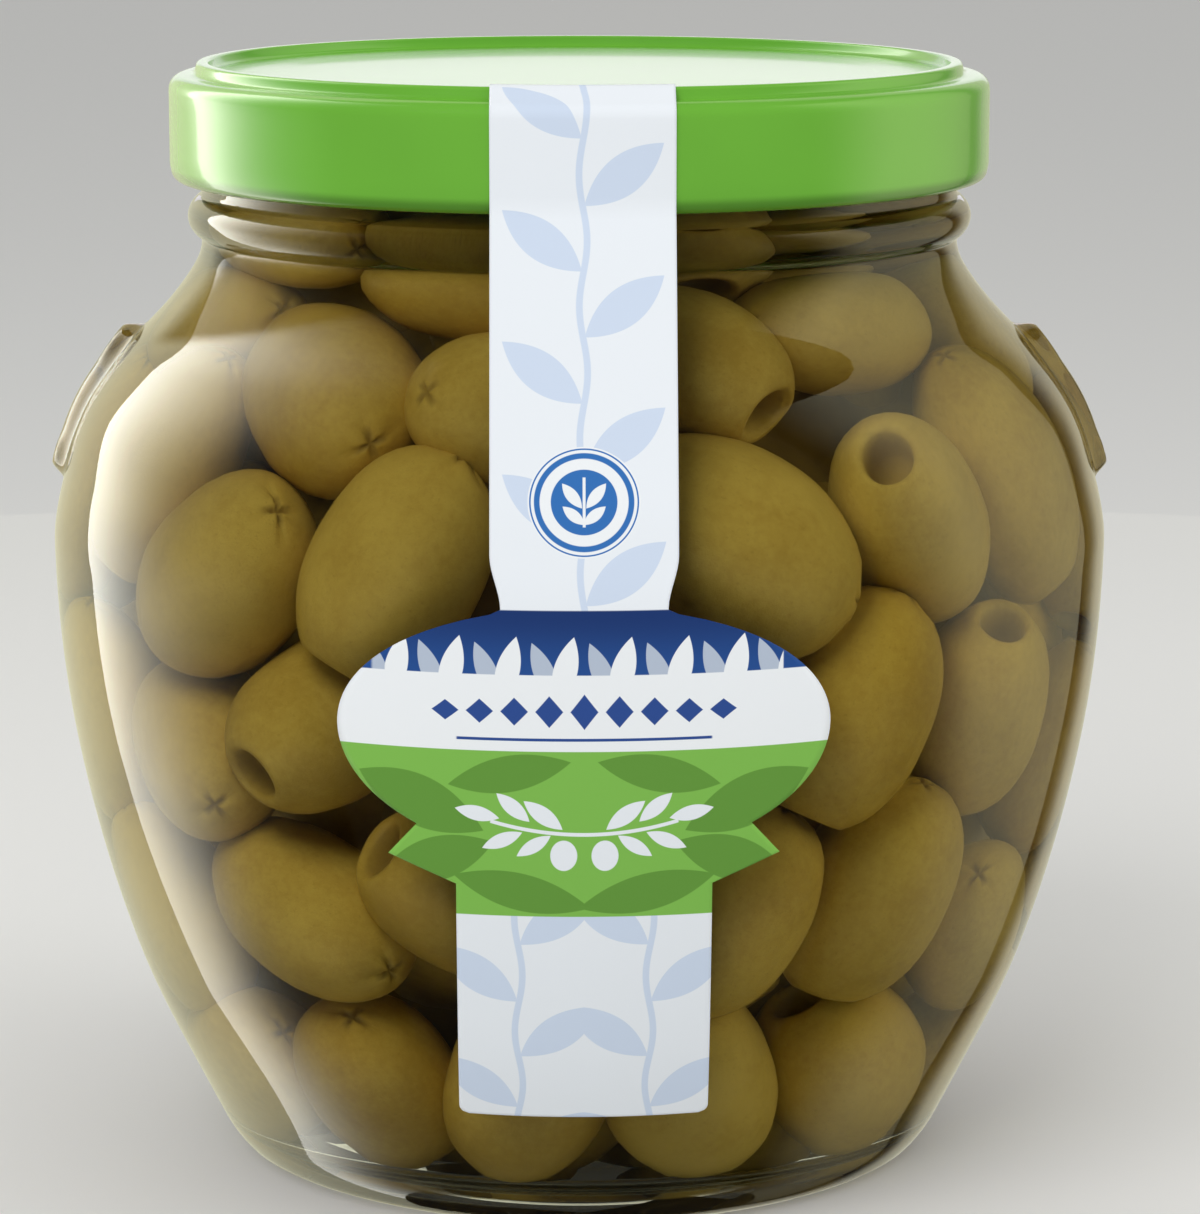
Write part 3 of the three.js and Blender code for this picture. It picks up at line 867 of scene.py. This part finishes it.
def layOlives():
    olives = [Olive(*row, True) for row in frontOlives]
    draw = drawing(rings["seed"])
    for row, height in enumerate(rings["heights"]):
        count = math.floor(math.tau * (innerRadius(height) - olive["girth"]) / rings["spacing"] + 0.5)
        for i in range(count):
            azimuth = 360 * (i + (row % 2) / 2 + 0.3 * next(draw)) / count
            lean = 180 * next(draw) - 90
            tip = 30 * next(draw) ** 2
            size = 0.94 + 0.12 * next(draw)
            end = "hole" if next(draw) < 0.4 else "slit"
            made = Olive(azimuth, height, lean, tip, size, end, False)
            if all((other.middle - made.middle).length > rings["clear"] for other in olives):
                olives.append(made)
    for step in range(settling["steps"]):
        for i, one in enumerate(olives):
            for other in olives[:i]:
                pushApart(one, other)
        for one in olives:
            if one.pinned:
                one.middle = one.middle.lerp(one.home, settling["homing"])
            keepInside(one)
    for step in range(settling["lastSteps"]):
        for one in olives:
            keepInside(one)
    kept = []
    for one in olives:
        free = all(deepestOverlap(one, other)[0] < settling["mostOverlap"] for other in kept)
        if one.pinned or free:
            kept.append(one)
    return kept


innerLayer = {
    "heights": (22, 43, 64, 85, 105, 122), "spacing": 26, "deeper": 16, "seed": 31, "steps": 12, "hollow": 8,
}
# the heap's core: its dark and light browns are painted shade of the deep heap, darker than the olives
heapCore = {
    "inset": 32, "bottom": 14, "top": 127, "dark": (0.2, 0.12, 0.025), "light": (0.4, 0.26, 0.055),
    "roughness": 0.7,
}


def layInner(outer):
    # the second layer, seen in the gaps of the first and pushed clear of it
    draw = drawing(innerLayer["seed"])
    olives = []
    for height in innerLayer["heights"]:
        reach = innerRadius(height) - olive["girth"] - innerLayer["deeper"]
        count = math.floor(math.tau * reach / innerLayer["spacing"] + 0.5)
        for i in range(count):
            azimuth = 360 * (i + 0.5 * next(draw)) / count
            lean, tip = 360 * next(draw), 60 * next(draw) - 30
            size = 0.94 + 0.12 * next(draw)
            olives.append(Olive(azimuth, height, lean, tip, size, "slit", False, innerLayer["deeper"]))
    for step in range(innerLayer["steps"]):
        for i, one in enumerate(olives):
            for other in olives[:i]:
                pushApart(one, other)
            for other in outer:
                deepest, way = deepestOverlap(one, other)
                one.middle += way * deepest
            keepLevel(one)
    return [one for one in olives if math.hypot(one.middle.x, one.middle.y) > innerLayer["hollow"]]


def oliveProfile(bands):
    # (radius, height) from the bottom of the pit, over its lip and down to the slit end
    half, girth, pit = olive["half"], olive["girth"], olive["pit"]
    points = [(0, half * 0.52), (pit * 0.6, half * 0.53), (pit * 0.88, half * 0.6), (pit, half * 0.74)]
    points += [(pit * 1.06, half * 0.84), (pit * 1.2, half * 0.895), (pit * 1.42, half * 0.9)]
    for t in between(0.855, -0.99, bands):
        points.append((girth * (1 - abs(t) ** 2.25) ** 0.5, half * t))
    return points + [(girth * 0.07, -half * 0.998), (0, -half)]


def oliveTemplate(seed, segments, bands):
    # one olive, its pit upwards and its cross-shaped slit downwards, with the lumps of real fruit
    draw = drawing(seed)
    bm = spinProfile(oliveProfile(bands), segments)
    local = bm.verts.layers.float_vector.new("local")
    shift = Vector((next(draw), next(draw), next(draw))) * 40
    squash = 0.94 + 0.08 * next(draw)
    bend = 0.0035 * (next(draw) - 0.5)
    wander, uneven, deep = 0.5 * (next(draw) - 0.5), 1 + 1.5 * next(draw), 0.4 + 0.7 * next(draw)
    for vert in bm.verts:
        co = vert.co / mm
        vert[local] = co
        across = math.hypot(co.x, co.y)
        lump = noise.noise(co * 0.09 + shift) * 0.8 + noise.noise(co * 0.2 + shift) * 0.25
        low = 1 - smoothStep(-olive["half"] * 0.97, -olive["half"] * 0.55, co.z)
        arms = min(abs(co.x + wander * co.y), abs(co.y) * uneven)
        groove = low * deep * (1 - smoothStep(0.1, 0.55, arms)) * (1 - smoothStep(0.9, 2.3, across))
        co = co * (1 + lump * 0.045)
        co.x *= squash
        co.x += bend * co.z * co.z
        co.z += groove
        vert.co = co * mm
    mesh = bpy.data.meshes.new("template")
    bm.to_mesh(mesh)
    bm.free()
    return mesh


def gather(olives, templates, seed):
    # copies of the templates, one for each olive, turned and placed in one mesh
    draw = drawing(seed)
    bm = bmesh.new()
    bm.verts.layers.float.new("tint")
    for one in olives:
        start = len(bm.verts)
        bm.from_mesh(templates[math.floor(next(draw) * len(templates)) % len(templates)])
        bm.verts.ensure_lookup_table()
        tint = bm.verts.layers.float["tint"]
        added = bm.verts[start:]
        shade = next(draw)
        axis = one.axis if one.end == "hole" else -one.axis
        turn = Vector((0, 0, 1)).rotation_difference(axis) @ Quaternion((0, 0, 1), math.tau * next(draw))
        place = Matrix.Translation(one.middle * mm) @ turn.to_matrix().to_4x4() @ Matrix.Scale(one.size, 4)
        bmesh.ops.transform(bm, matrix=place, verts=added)
        for vert in added:
            vert[tint] = shade
    return bm


def oliveFinish(name, paintedShadeShare):
    finish = Finish(name)
    local = finish.node("ShaderNodeAttribute", {"attribute_name": "local"})["Vector"]
    tint = finish.node("ShaderNodeAttribute", {"attribute_name": "tint"})["Fac"]
    x, y, z = finish.axes(local)
    across = (x * x + y * y).root()
    shift = {"X": tint * 300, "Y": tint * 170, "Z": tint * 90}  # no two olives have the same spots
    offset = finish.node("ShaderNodeCombineXYZ", None, shift)["Vector"]
    place = finish.node("ShaderNodeVectorMath", {"operation": "ADD"}, {0: local, 1: offset})["Vector"]
    cloud = finish.noise(place, 0.12, 3)
    mottle = finish.noise(place, 0.9, 4, 0.6)
    fleck = finish.noise(place, 3.2, 2)
    share = (cloud * 0.6 + mottle * 0.42 + tint * 0.3).band(0.36, 0.92)
    colour = finish.mix(share, oliveSkin["deep"], oliveSkin["light"])
    warm = (tint * 7.3) % 1
    colour = finish.mix(warm * 0.55, colour, finish.mix(share, oliveSkin["amberDeep"], oliveSkin["amber"]))
    freckles = fleck.band(0.6, 0.74) * 0.3
    colour = finish.mix(freckles, colour, oliveSkin["bruise"])
    # brown round the slit, and painted shade darkening the pit's hollow
    half = olive["half"]
    nearSlit = (-z).band(half * 0.8, half * 0.97)
    arms = abs(x).least(abs(y)).band(0.1, 0.8).most(across.band(1.1, 2.7))
    colour = finish.mix(nearSlit * (1 - arms) * 0.8, colour, oliveSkin["bruise"])
    paintedPitShade = (1 - across.band(olive["pit"] * 0.9, olive["pit"] * 1.15)) * z.band(half * 0.3, half * 0.35)
    colour = finish.mix(paintedPitShade * 0.85, colour, oliveSkin["pit"])
    # painted shade: the second layer's skin is mixed towards the dark pit brown, as if shaded deep in the
    # heap
    if paintedShadeShare:
        colour = finish.mix(paintedShadeShare, colour, oliveSkin["pit"])
    normal = finish.bump(mottle * 0.6 + fleck * 0.4, 0.00012, 0.5)
    surface = finish.principled(
        Base_Color=colour, Roughness=oliveSkin["roughness"], Normal=normal, Specular_IOR_Level=0.35,
    )
    return finish.done(surface)


def makeOlives():
    outer = layOlives()
    report(f"{len(outer)} olives laid")
    inner = layInner(outer)
    templates = [oliveTemplate(seed, olive["segments"], 22) for seed in (3, 11, 19, 27, 35)]
    plain = [oliveTemplate(seed, 20, 10) for seed in (5, 13, 21)]
    # the second layer's olives get a copy of the skin darkened with painted shade
    skin, paintedShadeSkin = oliveFinish("olive_skin", 0), oliveFinish("olive_skin_painted_shade", 0.15)
    makePiece("olives_outer", gather(outer, templates, 41), skin, "olive_skin", "olives")
    makePiece("olives_inner", gather(inner, plain, 43), paintedShadeSkin, "olive_skin", "olives")
    for mesh in templates + plain:
        bpy.data.meshes.remove(mesh)


def makeCore():
    # a body in the middle of the heap, seen in the deepest gaps, coloured in darker browns than the olives as
    # painted shade
    bottom, top = heapCore["bottom"], heapCore["top"]
    wall = [(shiftedRadius(z, -heapCore["inset"]), z) for z in between(bottom + 2, top - 1, 24)]
    bm = spinProfile([(0, bottom)] + wall + [(0, top)], 48)
    finish = Finish("heap_core_painted_shade")
    cloud = finish.noise(finish.place(), 70, 3)
    colour = finish.mix(cloud.band(0.3, 0.7), heapCore["dark"], heapCore["light"])
    surface = finish.principled(
        Base_Color=colour, Roughness=heapCore["roughness"], Normal=finish.bump(cloud, 0.002),
    )
    makePiece("heap_core_painted_shade", bm, finish.done(surface), "olive_skin", "olives")


addCamera()
addStudio()
makeGlass()
makeBrine()
makeLid()
makeLabel()
makeOlives()
makeCore()
